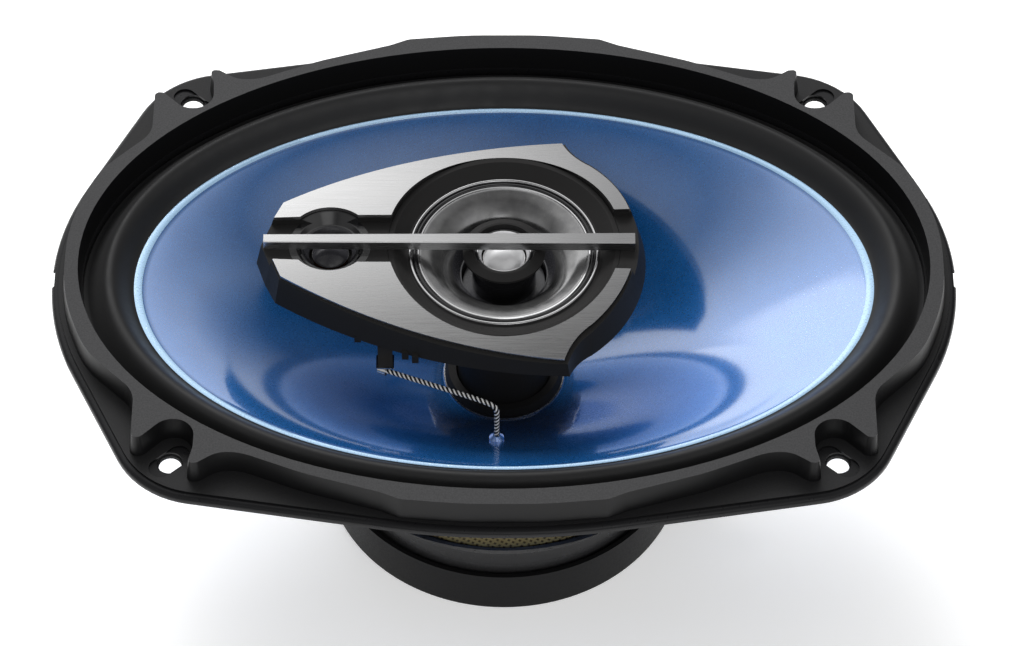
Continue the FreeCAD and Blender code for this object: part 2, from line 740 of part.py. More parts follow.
# ---------------------------------------------------------------- write every piece
def build_all():
    cone = make_cone()
    plates = make_face_plates()
    return {
        "basket": make_basket(),
        "basket_rivets": make_basket_rivets(),
        "mounting_gasket": make_mounting_gasket(),
        "trim_ring": make_trim_ring(),
        "top_plate": make_top_plate(),
        "magnet": make_magnet(),
        "yoke": make_yoke(),
        "magnet_boot": make_magnet_boot(),
        "post": make_post(),
        "post_screw": make_post_screw(),
        "woofer_cone": cone,
        "surround": make_surround(),
        "spider": make_spider(),
        "voice_coil_former": make_former(),
        "voice_coil": make_coil(),
        "neck_ring": make_neck_ring(),
        "pod_housing": make_pod_housing(),
        "face_plate_rear": face_half(plates, 1),
        "face_plate_front": face_half(plates, -1),
        "centre_bar": make_centre_bar(),
        "midrange_frame": make_midrange_frame(),
        "midrange_rim": make_midrange_rim(),
        "midrange_surround": make_midrange_surround(),
        "midrange_cone": make_midrange_cone(),
        "midrange_former": make_midrange_former(),
        "midrange_coil": make_midrange_coil(),
        "midrange_plate": make_midrange_plate(),
        "midrange_magnet": make_midrange_magnet(),
        "midrange_yoke": make_midrange_yoke(),
        "tweeter_cup": make_tweeter_cup(),
        "tweeter_bezel": make_tweeter_bezel(),
        "tweeter_dish": make_tweeter_dish(),
        "tweeter_dome": make_tweeter_dome(),
        "tweeter_coil": make_tweeter_coil(),
        "tweeter_magnet": make_tweeter_magnet(),
        "small_tweeter_bezel": make_small_bezel(),
        "small_tweeter_dish": make_small_dish(),
        "small_tweeter_cup": make_small_cup(),
        "small_tweeter_dome": make_small_dome(),
        "small_tweeter_coil": make_small_coil(),
        "small_tweeter_magnet": make_small_magnet(),
        "crossover_capacitors": make_capacitors(),
        "lead_tab": make_lead_tab(),
        "lead_clip": make_lead_clip(),
        "tinsel_lead": make_tinsel_lead(),
        "lead_eyelet": make_lead_eyelet(cone),
        "terminal_block": make_terminal_block(),
        "terminal_tabs": make_terminal_tabs(),
    }


os.makedirs("parts", exist_ok=True)
for name, shape in build_all().items():
    if not shape.isValid():
        print("invalid:", name)
    shape.exportStep("parts/" + name + ".step")
    print(name, len(shape.Solids), "solid(s)", round(shape.Volume / 1000, 2), "cm3")
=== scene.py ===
import bpy
import bmesh
import json
import math
import numpy as np
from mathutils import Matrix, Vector


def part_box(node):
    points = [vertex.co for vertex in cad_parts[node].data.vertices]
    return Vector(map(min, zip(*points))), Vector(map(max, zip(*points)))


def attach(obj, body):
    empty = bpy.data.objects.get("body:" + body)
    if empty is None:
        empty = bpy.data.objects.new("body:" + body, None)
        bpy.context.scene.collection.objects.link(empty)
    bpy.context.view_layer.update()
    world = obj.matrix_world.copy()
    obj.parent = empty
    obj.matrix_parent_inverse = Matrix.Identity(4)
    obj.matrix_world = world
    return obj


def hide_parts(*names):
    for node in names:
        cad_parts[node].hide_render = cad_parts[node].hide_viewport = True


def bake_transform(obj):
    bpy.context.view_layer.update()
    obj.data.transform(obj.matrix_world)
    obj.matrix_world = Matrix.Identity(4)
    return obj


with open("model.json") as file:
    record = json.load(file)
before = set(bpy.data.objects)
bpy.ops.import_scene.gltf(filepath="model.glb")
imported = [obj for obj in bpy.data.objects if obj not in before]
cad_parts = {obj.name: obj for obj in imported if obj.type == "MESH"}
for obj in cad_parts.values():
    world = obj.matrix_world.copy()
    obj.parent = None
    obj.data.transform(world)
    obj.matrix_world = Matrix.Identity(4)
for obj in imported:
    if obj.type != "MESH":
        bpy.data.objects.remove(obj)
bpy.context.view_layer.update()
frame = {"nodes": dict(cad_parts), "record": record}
MM = 0.001
FIXED = "frame"


# ------------------------------------------------------------ places read from the frame
def low(node):
    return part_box(node)[0]


def high(node):
    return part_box(node)[1]


CONE_A = high("woofer_cone")[0]
CONE_B = high("woofer_cone")[1]
CONE_EDGE = high("woofer_cone")[2]
CONE_SKIN = 0.8 * MM
CONE_NECK = low("woofer_cone")[2] + CONE_SKIN
CONE_NECK_R = 16.2 * MM
CONE_CURVE = 1.35
LAND_A = high("surround")[0]
LAND_B = high("surround")[1]
LEDGE = low("surround")[2]
SMALL_X = (low("small_tweeter_dome")[0] + high("small_tweeter_dome")[0]) / 2
FLOOR = low("magnet_boot")[2]
LEAD_D = 1.4 * MM
LEAD_ROUTE = [
    (-30.6, -31.0, 1.7),
    (-19.4, -36.1, 2.5),
    (-9.4, -40.4, 2.9),
    (-5.2, -42.1, 2.8),
    (-1.9, -43.5, 2.2),
    (-1.8, -43.9, -1.9),
    (-1.9, -44.0, -8.6),
]


# ------------------------------------------------------------ node helpers for materials
class Paint:
    """A Principled material with short helpers for its nodes."""

    def __init__(self, name, color, rough, metal=0.0):
        self.mat = bpy.data.materials.new(name)
        self.mat.use_nodes = True
        self.tree = self.mat.node_tree
        self.shader = self.tree.nodes["Principled BSDF"]
        self.set("Base Color", (*color, 1))
        self.set("Roughness", rough)
        self.set("Metallic", metal)

    def set(self, socket, value):
        self.shader.inputs[socket].default_value = value
        return self

    def node(self, kind, **inputs):
        made = self.tree.nodes.new(kind)
        for name, value in inputs.items():
            made.inputs[name.replace("_", " ")].default_value = value
        return made

    def link(self, source, target):
        self.tree.links.new(source, target)

    def position(self, scale=(1, 1, 1)):
        """Object coordinates in metres, stretched by scale."""
        place = self.node("ShaderNodeTexCoord")
        mapping = self.node("ShaderNodeMapping")
        mapping.inputs["Scale"].default_value = scale
        self.link(place.outputs["Object"], mapping.inputs["Vector"])
        return mapping.outputs["Vector"]

    def noise(self, size, detail=3.0, stretch=(1, 1, 1), rough=0.55):
        """Noise whose features are about size metres across."""
        made = self.node("ShaderNodeTexNoise", Scale=1 / size, Detail=detail, Roughness=rough)
        self.link(self.position(stretch), made.inputs["Vector"])
        return made.outputs["Fac"]

    def cells(self, size, output="Distance", stretch=(1, 1, 1)):
        made = self.node("ShaderNodeTexVoronoi", Scale=1 / size)
        self.link(self.position(stretch), made.inputs["Vector"])
        return made.outputs[output]

    def ramp(self, source, *stops):
        """A colour ramp through (place, colour) stops."""
        made = self.node("ShaderNodeValToRGB")
        elements = made.color_ramp.elements
        while len(elements) < len(stops):
            elements.new(0.5)
        for element, (place, color) in zip(elements, stops):
            element.position = place
            element.color = (*color, 1) if len(color) == 3 else color
        self.link(source, made.inputs["Fac"])
        return made.outputs["Color"]

    def spread(self, source, start, end, near=0.0, far=1.0):
        made = self.node("ShaderNodeMapRange")
        made.inputs["From Min"].default_value = start
        made.inputs["From Max"].default_value = end
        made.inputs["To Min"].default_value = near
        made.inputs["To Max"].default_value = far
        self.link(source, made.inputs["Value"])
        return made.outputs["Result"]

    def math(self, kind, first, second):
        made = self.node("ShaderNodeMath")
        made.operation = kind
        for index, value in enumerate((first, second)):
            if isinstance(value, (int, float)):
                made.inputs[index].default_value = value
            else:
                self.link(value, made.inputs[index])
        return made.outputs[0]

    def blend_colors(self, factor, first, second):
        made = self.node("ShaderNodeMix")
        made.data_type = "RGBA"
        self.link(factor, made.inputs["Factor"])
        for name, value in (("A", first), ("B", second)):
            sockets = [s for s in made.inputs if s.name == name and s.type == "RGBA"]
            if isinstance(value, tuple):
                sockets[0].default_value = (*value, 1)
            else:
                self.link(value, sockets[0])
        return [s for s in made.outputs if s.type == "RGBA"][0]

    def up(self):
        """How much the surface faces up, from -1 to 1."""
        made = self.node("ShaderNodeNewGeometry")
        split = self.node("ShaderNodeSeparateXYZ")
        self.link(made.outputs["Normal"], split.inputs["Vector"])
        return split.outputs["Z"]

    def bump(self, height, strength, distance, before=None):
        made = self.node("ShaderNodeBump", Strength=strength, Distance=distance)
        self.link(height, made.inputs["Height"])
        if before is not None:
            self.link(before, made.inputs["Normal"])
        self.link(made.outputs["Normal"], self.shader.inputs["Normal"])
        return made.outputs["Normal"]

    def feed(self, source, socket):
        self.link(source, self.shader.inputs[socket])
        return self


def trim_plastic():
    """Charcoal plastic: grained on the high faces that look up, plain and darker on the walls. Up-facing
    faces below the top carry painted shade: a darker, less grained tint.
    """
    paint = Paint("trim_plastic", (0.03, 0.03, 0.031), 0.5)
    grain = paint.noise(0.45 * MM, 2.0)
    split = paint.node("ShaderNodeSeparateXYZ")
    paint.link(paint.position(), split.inputs["Vector"])
    # Painted shade: up-facing faces lower than 8 to 9.3 mm keep only a quarter of the grained tint, so the
    # low floors look shaded.
    painted_shade_by_height = paint.spread(split.outputs["Z"], 8 * MM, 9.3 * MM)
    grain_and_painted_shade = paint.math("MULTIPLY", paint.spread(paint.up(), 0.82, 0.97), paint.math("ADD", painted_shade_by_height, 0.25))
    tint = paint.ramp(grain, (0.3, (0.026, 0.026, 0.027)), (0.7, (0.046, 0.046, 0.048)))
    paint.feed(paint.blend_colors(grain_and_painted_shade, (0.007, 0.007, 0.0075), tint), "Base Color")
    paint.feed(paint.spread(grain_and_painted_shade, 0, 1, 0.36, 0.52), "Roughness")
    paint.feed(paint.spread(grain_and_painted_shade, 0, 1, 0.25, 0.5), "Specular IOR Level")
    paint.bump(paint.math("MULTIPLY", grain, grain_and_painted_shade), 0.45, 0.06 * MM)
    return paint.mat


def coated_steel():
    """Black stove enamel with a faint orange-peel surface."""
    paint = Paint("coated_steel", (0.011, 0.011, 0.012), 0.3)
    paint.set("Coat Weight", 0.12).set("Coat Roughness", 0.18).set("Specular IOR Level", 0.2)
    peel = paint.noise(1.6 * MM, 2.0)
    paint.feed(paint.spread(peel, 0.3, 0.7, 0.26, 0.38), "Roughness")
    paint.bump(peel, 0.12, 0.05 * MM)
    return paint.mat


def boot_plastic():
    paint = Paint("boot_plastic", (0.009, 0.009, 0.0095), 0.42)
    paint.set("Specular IOR Level", 0.1)
    grain = paint.noise(0.6 * MM, 3.0)
    paint.feed(paint.spread(grain, 0.3, 0.7, 0.36, 0.5), "Roughness")
    paint.bump(grain, 0.2, 0.03 * MM)
    return paint.mat


def black_plastic():
    paint = Paint("black_plastic", (0.018, 0.0175, 0.0175), 0.5)
    paint.set("Specular IOR Level", 0.16)
    grain = paint.noise(0.5 * MM, 2.0)
    paint.feed(paint.spread(grain, 0.3, 0.7, 0.44, 0.56), "Roughness")
    paint.bump(grain, 0.1, 0.02 * MM)
    return paint.mat


def roll_rubber():
    """Butyl rubber: matt with a broad soft highlight and a faint dusting."""
    paint = Paint("roll_rubber", (0.013, 0.013, 0.0135), 0.42)
    paint.set("Sheen Weight", 0.05).set("Sheen Roughness", 0.5)
    dust = paint.noise(4 * MM, 4.0)
    paint.feed(paint.spread(dust, 0.35, 0.65, 0.38, 0.48), "Roughness")
    paint.bump(paint.noise(0.35 * MM, 2.0), 0.12, 0.03 * MM)
    return paint.mat


def cone_film():
    """Injection-moulded pearl blue: fine metal flake under a thick bright skin."""
    paint = Paint("cone_film", (0.02, 0.24, 0.76), 0.3, 0.75)
    paint.set("Coat Weight", 1.0).set("Coat Roughness", 0.1).set("Coat IOR", 3.9)
    flakes = paint.node("ShaderNodeSeparateColor")
    paint.link(paint.cells(0.3 * MM, "Color"), flakes.inputs["Color"])
    cloud = paint.noise(9 * MM, 2.0)
    tint = paint.ramp(cloud, (0.3, (0.018, 0.22, 0.72)), (0.7, (0.03, 0.26, 0.80)))
    bright = paint.ramp(flakes.outputs["Red"], (0.0, (0.01, 0.16, 0.55)), (1.0, (0.08, 0.36, 0.95)))
    share = paint.spread(flakes.outputs["Green"], 0.5, 1.0, 0.0, 0.5)
    paint.feed(paint.blend_colors(share, tint, bright), "Base Color")
    paint.feed(paint.spread(flakes.outputs["Blue"], 0, 1, 0.24, 0.4), "Roughness")
    paint.bump(flakes.outputs["Blue"], 0.05, 0.01 * MM)
    return paint.mat


def rim_film():
    """The bare, paler edge of the cone."""
    paint = Paint("rim_film", (0.42, 0.66, 0.92), 0.3, 0.3)
    paint.set("Coat Weight", 1.0).set("Coat Roughness", 0.12).set("Coat IOR", 2.1)
    grain = paint.noise(0.5 * MM, 2.0)
    paint.feed(paint.spread(grain, 0.3, 0.7, 0.24, 0.36), "Roughness")
    paint.bump(grain, 0.1, 0.02 * MM)
    return paint.mat


def brushed_face():
    """Aluminium brushed along the pod: long fine scratches, uneven in depth. Its colour carries painted
    light: paler towards -X, darker towards +X.
    """
    paint = Paint("brushed_face", (0.62, 0.62, 0.63), 0.27, 1.0)
    lines = paint.noise(0.11 * MM, 3.0, (0.012, 1, 1))
    coarse = paint.noise(0.32 * MM, 2.0, (0.02, 1, 1))
    both = paint.math("ADD", paint.math("MULTIPLY", lines, 0.6), paint.math("MULTIPLY", coarse, 0.4))
    along = paint.node("ShaderNodeSeparateXYZ")
    paint.link(paint.position(), along.inputs["Vector"])
    brushed_lit_tone = paint.ramp(both, (0.3, (0.84, 0.84, 0.845)), (0.7, (1.0, 1.0, 1.0)))
    brushed_shaded_tone = paint.ramp(both, (0.3, (0.30, 0.30, 0.305)), (0.7, (0.42, 0.42, 0.425)))
    # Painted light: the brushed colour runs from the lit pale tone at X = -62 mm to the darker shaded tone at
    # X = 30 mm.
    share = paint.spread(along.outputs["X"], -62 * MM, 30 * MM)
    paint.feed(paint.blend_colors(share, brushed_lit_tone, brushed_shaded_tone), "Base Color")
    paint.feed(paint.spread(both, 0.3, 0.7, 0.22, 0.36), "Roughness")
    across = paint.node("ShaderNodeCombineXYZ")
    across.inputs["Y"].default_value = 1.0
    paint.link(across.outputs["Vector"], paint.shader.inputs["Tangent"])
    paint.set("Anisotropic", 0.85)
    paint.bump(both, 0.2, 0.015 * MM)
    return paint.mat


def graphite_film():
    """Smoked metallised film of the midrange cone."""
    paint = Paint("graphite_film", (0.20, 0.20, 0.205), 0.2, 0.9)
    paint.set("Coat Weight", 0.6).set("Coat Roughness", 0.06)
    cloud = paint.noise(3 * MM, 3.0)
    paint.feed(paint.ramp(cloud, (0.3, (0.27, 0.27, 0.275)), (0.7, (0.37, 0.37, 0.37))), "Base Color")
    paint.feed(paint.spread(cloud, 0.3, 0.7, 0.17, 0.25), "Roughness")
    return paint.mat


def bright_metal():
    paint = Paint("bright_metal", (0.78, 0.78, 0.79), 0.14, 1.0)
    turned = paint.noise(0.5 * MM, 3.0)
    paint.feed(paint.spread(turned, 0.3, 0.7, 0.1, 0.2), "Roughness")
    return paint.mat


def dome_metal():
    paint = Paint("dome_metal", (0.88, 0.88, 0.89), 0.36, 0.45)
    grain = paint.noise(2.0 * MM, 3.0)
    paint.feed(paint.spread(grain, 0.3, 0.7, 0.33, 0.39), "Roughness")
    return paint.mat


def dark_film():
    paint = Paint("dark_film", (0.035, 0.035, 0.04), 0.24)
    paint.set("Coat Weight", 0.5).set("Coat Roughness", 0.1)
    grain = paint.noise(0.4 * MM, 3.0)
    paint.feed(paint.spread(grain, 0.3, 0.7, 0.2, 0.3), "Roughness")
    return paint.mat


def gloss_black():
    paint = Paint("gloss_black", (0.009, 0.009, 0.01), 0.16)
    paint.set("Coat Weight", 0.5).set("Coat Roughness", 0.05)
    smear = paint.noise(5 * MM, 3.0)
    paint.feed(paint.spread(smear, 0.3, 0.7, 0.12, 0.22), "Roughness")
    return paint.mat


def spider_cloth():
    """Phenolic-dipped cotton: an open weave of ochre threads."""
    paint = Paint("spider_cloth", (0.38, 0.27, 0.10), 0.8)
    weave = []
    for angle in (0.0, math.pi / 2):
        mapping = paint.node("ShaderNodeMapping")
        mapping.inputs["Rotation"].default_value = (0, 0, angle + 0.5)
        paint.link(paint.position(), mapping.inputs["Vector"])
        wave = paint.node("ShaderNodeTexWave", Scale=1 / (4.2 * MM), Distortion=0.6)
        paint.link(mapping.outputs["Vector"], wave.inputs["Vector"])
        weave.append(wave.outputs["Fac"])
    cloth = paint.math("MAXIMUM", weave[0], weave[1])
    paint.feed(paint.ramp(cloth, (0.25, (0.10, 0.06, 0.02)), (0.75, (0.46, 0.34, 0.13))), "Base Color")
    paint.bump(cloth, 0.7, 0.15 * MM)
    return paint.mat


def tinsel_braid():
    paint = Paint("tinsel_braid", (0.9, 0.9, 0.89), 0.35, 0.3)
    strand = paint.noise(0.12 * MM, 2.0)
    paint.feed(paint.ramp(strand, (0.3, (0.62, 0.62, 0.61)), (0.7, (0.95, 0.95, 0.94))), "Base Color")
    paint.bump(strand, 0.35, 0.03 * MM)
    return paint.mat


def plain_steel():
    paint = Paint("plain_steel", (0.42, 0.42, 0.43), 0.34, 1.0)
    grain = paint.noise(0.7 * MM, 3.0)
    paint.feed(paint.spread(grain, 0.3, 0.7, 0.26, 0.44), "Roughness")
    paint.bump(grain, 0.1, 0.02 * MM)
    return paint.mat


def ferrite():
    paint = Paint("ferrite", (0.035, 0.035, 0.037), 0.7)
    grain = paint.noise(0.5 * MM, 4.0)
    paint.feed(paint.ramp(grain, (0.3, (0.025, 0.025, 0.027)), (0.7, (0.05, 0.05, 0.052))), "Base Color")
    paint.bump(grain, 0.4, 0.05 * MM)
    return paint.mat


def gasket_foam():
    paint = Paint("gasket_foam", (0.022, 0.022, 0.023), 0.92)
    pores = paint.cells(0.7 * MM)
    paint.feed(paint.ramp(pores, (0.1, (0.006, 0.006, 0.006)), (0.5, (0.028, 0.028, 0.029))), "Base Color")
    paint.bump(pores, 0.8, 0.2 * MM)
    return paint.mat


def former_foil():
    paint = Paint("former_foil", (0.75, 0.75, 0.76), 0.3, 1.0)
    paint.feed(paint.spread(paint.noise(0.5 * MM), 0.3, 0.7, 0.24, 0.38), "Roughness")
    return paint.mat


def coil_wire():
    """Enamelled wire wound in close turns."""
    paint = Paint("coil_wire", (0.55, 0.22, 0.08), 0.3, 0.9)
    wave = paint.node("ShaderNodeTexWave", Scale=1 / (2.0 * MM))
    wave.bands_direction = "Z"
    paint.link(paint.position(), wave.inputs["Vector"])
    turns = paint.ramp(wave.outputs["Fac"], (0.2, (0.25, 0.08, 0.03)), (0.8, (0.62, 0.27, 0.1)))
    paint.feed(turns, "Base Color")
    paint.bump(wave.outputs["Fac"], 0.6, 0.08 * MM)
    return paint.mat


def capacitor_sleeve():
    paint = Paint("capacitor_sleeve", (0.02, 0.05, 0.18), 0.25)
    paint.feed(paint.spread(paint.noise(1 * MM), 0.3, 0.7, 0.2, 0.35), "Roughness")
    return paint.mat


def tab_metal():
    paint = Paint("tab_metal", (0.72, 0.62, 0.36), 0.3, 1.0)
    grain = paint.noise(0.5 * MM, 3.0, (0.1, 1, 1))
    paint.feed(paint.spread(grain, 0.3, 0.7, 0.24, 0.4), "Roughness")
    paint.bump(grain, 0.15, 0.02 * MM)
    return paint.mat


MATERIALS = {
    "coated_steel": coated_steel(),
    "foam": gasket_foam(),
    "trim_plastic": trim_plastic(),
    "plain_steel": plain_steel(),
    "ferrite": ferrite(),
    "boot_plastic": boot_plastic(),
    "black_plastic": black_plastic(),
    "cone_film": cone_film(),
    "roll_rubber": roll_rubber(),
    "spider_cloth": spider_cloth(),
    "former_foil": former_foil(),
    "coil_wire": coil_wire(),
    "face_metal": brushed_face(),
    "graphite_film": graphite_film(),
    "bright_metal": bright_metal(),
    "dome_metal": dome_metal(),
    "dark_film": dark_film(),
    "capacitor_sleeve": capacitor_sleeve(),
    "tinsel_braid": tinsel_braid(),
    "tab_metal": tab_metal(),
}
RIM_FILM = rim_film()
GLOSS_BLACK = gloss_black()


# ------------------------------------------------------------ mesh helpers
def new_mesh(name, points, faces, material, crease=35):
    """A smooth-shaded mesh object whose edges stay crisp above the crease angle."""
    mesh = bpy.data.meshes.new(name)
    mesh.from_pydata([tuple(p) for p in points], [], faces)
    mesh.validate()
    skin = bmesh.new()
    skin.from_mesh(mesh)
    bmesh.ops.recalc_face_normals(skin, faces=skin.faces)
    skin.to_mesh(mesh)
    skin.free()
    mesh.shade_smooth()
    mesh.set_sharp_from_angle(angle=math.radians(crease))
    made = bpy.data.objects.new(name, mesh)
    bpy.context.scene.collection.objects.link(made)
    mesh.materials.append(material)
    return made


def oval_loops(sections, around=288):
    """Points of stacked ellipses, each given as (a, b, z), and the closed skin's faces."""
    turn = np.linspace(0, 2 * math.pi, around, endpoint=False)
    points = []
    for a, b, z in sections:
        points += [(a * math.cos(t), b * math.sin(t), z) for t in turn]
    count = len(sections)
    faces = []
    for i in range(count):
        row = i * around
        following = (i + 1) % count * around
        for j in range(around):
            beside = (j + 1) % around
            faces.append((row + j, row + beside, following + beside, following + j))
    return points, faces


def lathe(name, profile, material, x=0.0, around=160, crease=35):
    """A turned ring from a closed (radius, height) outline in millimetres."""
    sections = [(r * MM, r * MM, z * MM) for r, z in profile]
    points, faces = oval_loops(sections, around)
    points = [(px + x, py, pz) for px, py, pz in points]
    return new_mesh(name, points, faces, material, crease)


def smooth_line(points, steps=6):
    """Catmull-Rom points through an open list of (r, z)."""
    padded = [points[0]] + list(points) + [points[-1]]
    out = []
    for i in range(1, len(padded) - 2):
        p0, p1, p2, p3 = [np.array(p, float) for p in padded[i - 1:i + 3]]
        for k in range(steps):
            t = k / steps
            out.append(tuple(0.5 * ((2 * p1) + (p2 - p0) * t + (2 * p0 - 5 * p1 + 4 * p2 - p3) * t * t
                                    + (3 * p1 - p0 - 3 * p2 + p3) * t ** 3)))
    out.append(tuple(points[-1]))
    return out


def shell_of(line, thickness):
    """A closed outline: the line, and the same line lowered by the thickness."""
    return list(line) + [(r, z - thickness) for r, z in reversed(line)]


def radial_blend(piece):
    """Bakes the ring piece's placement into its mesh, without tying it to any body."""
    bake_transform(piece)


# ------------------------------------------------------------ woofer
def cone_height(t):
    return CONE_NECK + (CONE_EDGE - CONE_NECK) * (1 - (1 - t) ** CONE_CURVE)


def cone_section(t, drop=0.0):
    a = CONE_NECK_R + (CONE_A - CONE_NECK_R) * t
    b = CONE_NECK_R + (CONE_B - CONE_NECK_R) * t
    return a, b, cone_height(t) - drop


def make_cone():
    around = 360
    band = 0.974
    steps = list(np.linspace(0, band, 60))
    top = [cone_section(t) for t in steps]
    lip = []
    for t, lift in ((band, 0.0), (band + 0.003, 0.14), (0.992, 0.16), (1.0, 0.0)):
        a, b, z = cone_section(t)
        lip.append((a, b, z + lift * MM))
    under = [cone_section(t, CONE_SKIN) for t in np.linspace(1, 0, 40)]
    points, faces = oval_loops(top + lip[1:] + under, around)
    made = new_mesh("cone", points, faces, MATERIALS["cone_film"])
    made.data.materials.append(RIM_FILM)
    first = (len(top) - 1) * around
    last = (len(top) + 2) * around
    for face in made.data.polygons:
        if first <= min(face.vertices) < last and max(face.vertices) < last + around:
            face.material_index = 1
    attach(made, "woofer")
    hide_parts("woofer_cone")


def make_surround():
    """A rounded roll with a lip glued under the cone and a land glued to the ledge."""
    inner = (CONE_A + 0.1 * MM, CONE_B + 0.1 * MM)
    outer = (LAND_A - 1.0 * MM, LAND_B - 1.0 * MM)
    shape = 1.5
    foot = CONE_EDGE
    rise = high("surround")[2] - foot - 0.05 * MM

    def place(part, z):
        return (inner[0] + (outer[0] - inner[0]) * part, inner[1] + (outer[1] - inner[1]) * part, z)

    top = [(inner[0] - 1.6 * MM, inner[1] - 1.6 * MM, foot - 0.95 * MM)]
    for i in range(33):
        swing = math.pi * i / 32
        top.append(place(i / 32, foot - 0.1 * MM + rise * math.sin(swing) ** shape))
    top.append((LAND_A, LAND_B, foot - 0.1 * MM))
    under = [(LAND_A, LAND_B, LEDGE)]
    for i in range(17):
        part = (16 - i) / 16
        under.append(place(part, foot - 0.65 * MM + (rise - 0.1 * MM) * math.sin(math.pi * part) ** shape))
    under.append((inner[0] - 1.6 * MM, inner[1] - 1.6 * MM, foot - 1.5 * MM))
    points, faces = oval_loops(top + under, 288)
    made = new_mesh("surround_roll", points, faces, MATERIALS["roll_rubber"])
    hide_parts("surround")
    radial_blend(made)


def make_spider():
    """Concentric folds that fade out at the former and at the glued outer land."""
    start = 16.1
    stop = 45.0
    height = -49.9
    fold = 0.85
    pitch = 4.2
    fade_width = 2.5
    steps = 120
    line = []
    for i in range(steps + 1):
        r = start + (stop - start) * i / steps
        fade = min(1, (r - start) / fade_width, (stop - r) / fade_width)
        line.append((r, height + fold * fade * math.sin((r - start) * 2 * math.pi / pitch)))
    line += [(46.0, height), (49.4, height)]
    made = lathe("spider_weave", shell_of(line, 0.4), MATERIALS["spider_cloth"],
                 around=192, crease=60)
    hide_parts("spider")
    radial_blend(made)


# ------------------------------------------------------------ lead
def smooth_route(points):
    """Points read along the smooth line that the route steers."""
    curve = bpy.data.curves.new("lead_line", "CURVE")
    curve.dimensions = "3D"
    spline = curve.splines.new("NURBS")
    spline.points.add(len(points) - 1)
    for point, place in zip(spline.points, points):
        point.co = (*[v * MM for v in place], 1)
    spline.order_u = 3
    spline.use_endpoint_u = True
    spline.resolution_u = 16
    holder = bpy.data.objects.new("lead_line", curve)
    bpy.context.scene.collection.objects.link(holder)
    mesh = bpy.data.meshes.new_from_object(holder)
    line = [v.co.copy() for v in mesh.vertices]
    bpy.data.objects.remove(holder)
    bpy.data.meshes.remove(mesh)
    return line


def even_line(line, step):
    """The same line with points an even step apart."""
    lengths = [0.0]
    for one, two in zip(line, line[1:]):
        lengths.append(lengths[-1] + (two - one).length)
    total = lengths[-1]
    count = int(total / step)
    out = []
    index = 0
    for k in range(count + 1):
        want = total * k / count
        while index < len(lengths) - 2 and lengths[index + 1] < want:
            index += 1
        span = max(lengths[index + 1] - lengths[index], 1e-9)
        out.append(line[index].lerp(line[index + 1], (want - lengths[index]) / span))
    return out, total


def make_lead():
    line, total = even_line(smooth_route(LEAD_ROUTE), 0.15 * MM)
    strands = 4
    sides = 8
    strand_r = LEAD_D * 0.25
    offset = LEAD_D / 2 - strand_r
    pitch = 2.6 * MM
    points = []
    faces = []
    guide = Vector((0, 0, 1))
    frames = []
    for i, place in enumerate(line):
        ahead = (line[min(i + 1, len(line) - 1)] - line[max(i - 1, 0)]).normalized()
        side = (guide - ahead * guide.dot(ahead)).normalized()
        guide = side
        frames.append((place, side, ahead.cross(side)))
    for strand in range(strands):
        base = len(points)
        for i, (place, side, other) in enumerate(frames):
            phase = 2 * math.pi * (strand / strands + i * total / len(frames) / pitch)
            centre = place + (side * math.cos(phase) + other * math.sin(phase)) * offset
            for k in range(sides):
                angle = 2 * math.pi * k / sides
                points.append(centre + (side * math.cos(angle) + other * math.sin(angle)) * strand_r)
        rows = len(frames)
        for i in range(rows - 1):
            for k in range(sides):
                a = base + i * sides + k
                b = base + i * sides + (k + 1) % sides
                faces.append((a, b, b + sides, a + sides))
        faces.append(tuple(base + k for k in reversed(range(sides))))
        faces.append(tuple(base + (rows - 1) * sides + k for k in range(sides)))
    made = new_mesh("braided_lead", points, faces, MATERIALS["tinsel_braid"], 60)
    # Every other strand gets the black boot plastic: painted shade standing in for the dark gaps between the
    # bright tinsel strands.
    made.data.materials.append(MATERIALS["boot_plastic"])
    for face in made.data.polygons:
        face.material_index = min(face.vertices) // (len(frames) * sides) % 2
    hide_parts("tinsel_lead")
    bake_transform(made)


# ------------------------------------------------------------ small drivers
def make_midrange():
    bright_lip_r = 22.05 * MM
    # Painted shade: faces of the steep neck inside 13.4 mm get the dark film, standing in for the shade of
    # the gap round the neck.
    painted_shade_neck_r = 13.4 * MM
    line = smooth_line([(11.55, 3.6), (13.2, 6.4), (15.4, 8.9), (18.4, 10.9), (21.2, 11.9), (22.0, 12.05)], 8)
    line += [(22.15, 12.3), (22.45, 12.35), (22.6, 12.2)]
    made = lathe("midrange_bowl", shell_of(line, 0.45), MATERIALS["graphite_film"],
                 crease=40)
    made.data.materials.append(MATERIALS["bright_metal"])
    made.data.materials.append(MATERIALS["dark_film"])
    for face in made.data.polygons:
        reach = math.hypot(face.center.x, face.center.y)
        if reach > bright_lip_r:
            face.material_index = 1
        elif reach < painted_shade_neck_r:
            face.material_index = 2
    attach(made, "midrange")
    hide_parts("midrange_cone")
    roll = [(22.5, 11.75)]
    for i in range(11):
        swing = math.pi * i / 10
        roll.append((23.25 - 0.6 * math.cos(swing), 11.75 + 0.75 * math.sin(swing)))
    roll.append((24.1, 11.75))
    made = lathe("midrange_roll", shell_of(roll, 0.25), GLOSS_BLACK, crease=50)
    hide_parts("midrange_surround")
    radial_blend(made)
    rim = [(24.0, 11.25), (24.0, 12.5), (24.1, 12.75), (24.35, 12.88), (24.65, 12.85), (24.85, 12.6),
           (24.88, 11.25)]
    made = lathe("midrange_trim", rim, MATERIALS["bright_metal"], crease=50)
    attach(made, FIXED)
    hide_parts("midrange_rim")


def dome_line(radius, rise, base, count=14):
    sphere = (radius * radius + rise * rise) / (2 * rise)
    line = []
    for i in range(count + 1):
        r = 0.02 + (radius - 0.02) * i / count
        line.append((r, base + rise - sphere + math.sqrt(sphere * sphere - r * r)))
    return line


